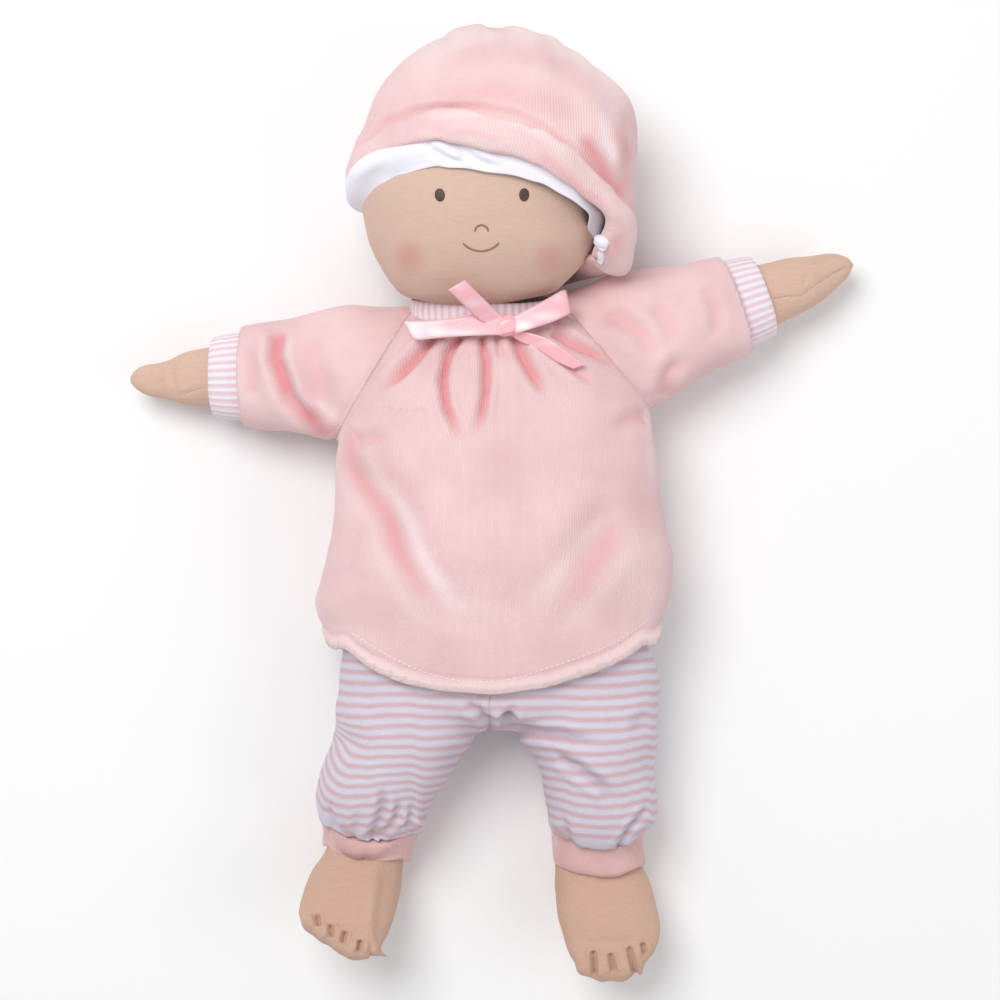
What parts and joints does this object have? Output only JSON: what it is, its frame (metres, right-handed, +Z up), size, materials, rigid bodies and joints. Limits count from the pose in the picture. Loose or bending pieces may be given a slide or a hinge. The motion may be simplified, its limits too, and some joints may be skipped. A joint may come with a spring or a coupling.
{
  "type": "soft baby doll",
  "caption": "Stuffed baby doll with jersey head, hands and feet, velour hat and smock with a satin bow, and striped trousers.",
  "frame": {"origin": "centre of the doll's outline, on the plane that its back rests on", "axes": "+X to the doll's left side, +Y to the top of its head, +Z up, out of its face and front"},
  "size_m": [0.27, 0.3478, 0.0813],
  "materials": {
    "skin_jersey": "matte",
    "velour": "matte pile",
    "striped_knit": "matte, striped",
    "white_jersey": "matte",
    "satin_ribbon": "satin",
    "eye_thread": "satin",
    "face_thread": "matte"
  },
  "bodies": {
    "torso": {"torso": "skin_jersey", "smock_front": "velour", "smock_back": "velour", "trouser_waist": "striped_knit", "neckband": "striped_knit", "bow_knot": "satin_ribbon", "bow_loop_right": "satin_ribbon", "bow_loop_left": "satin_ribbon", "bow_tail_upper": "satin_ribbon", "bow_tail_lower": "satin_ribbon"},
    "neck": {"neck": "skin_jersey"},
    "head": {"head": "skin_jersey", "left_eye": "eye_thread", "right_eye": "eye_thread", "nose_stitch": "face_thread", "mouth_stitch": "face_thread"},
    "hat": {"hat_crown": "velour", "hat_brim": "velour", "hat_lining": "white_jersey"},
    "left_arm": {"left_arm": "skin_jersey", "left_sleeve": "velour", "left_cuff": "striped_knit"},
    "right_arm": {"right_arm": "skin_jersey", "right_sleeve": "velour", "right_cuff": "striped_knit"},
    "left_leg": {"left_leg": "skin_jersey", "left_trouser_leg": "striped_knit", "left_leg_cuff": "velour"},
    "right_leg": {"right_leg": "skin_jersey", "right_trouser_leg": "striped_knit", "right_leg_cuff": "velour"}
  },
  "joints": [
    {"name": "neck_turn", "type": "hinge", "parent": "torso", "child": "neck", "pos_m": [-0.00359, 0.07004, 0.028], "axis": [0, 1, 0], "range_deg": [-45, 45]},
    {"name": "head_nod", "type": "hinge", "parent": "neck", "child": "head", "pos_m": [-0.00359, 0.08904, 0.028], "axis": [1, 0, 0], "range_deg": [-10, 4]},
    {"name": "hat_pull_off", "type": "slide", "parent": "head", "child": "hat", "axis": [0, 1, 0], "range_m": [0, 0.07]},
    {"name": "left_shoulder", "type": "hinge", "parent": "torso", "child": "left_arm", "pos_m": [0.04769, 0.06035, 0.022], "axis": [0.3257, -0.9455, 0], "range_deg": [-10, 55], "deforming": ["left_sleeve"]},
    {"name": "right_shoulder", "type": "hinge", "parent": "torso", "child": "right_arm", "pos_m": [-0.04709, 0.04898, 0.022], "axis": [-0.0163, 0.9999, 0], "range_deg": [-10, 55], "deforming": ["right_sleeve"]},
    {"name": "left_hip", "type": "hinge", "parent": "torso", "child": "left_leg", "pos_m": [0.03441, -0.07296, 0.039], "axis": [-1, 0, 0], "range_deg": [-10, 75], "deforming": ["left_trouser_leg"]},
    {"name": "right_hip", "type": "hinge", "parent": "torso", "child": "right_leg", "pos_m": [-0.03059, -0.07296, 0.039], "axis": [-1, 0, 0], "range_deg": [-10, 75], "deforming": ["right_trouser_leg"]}
  ]
}
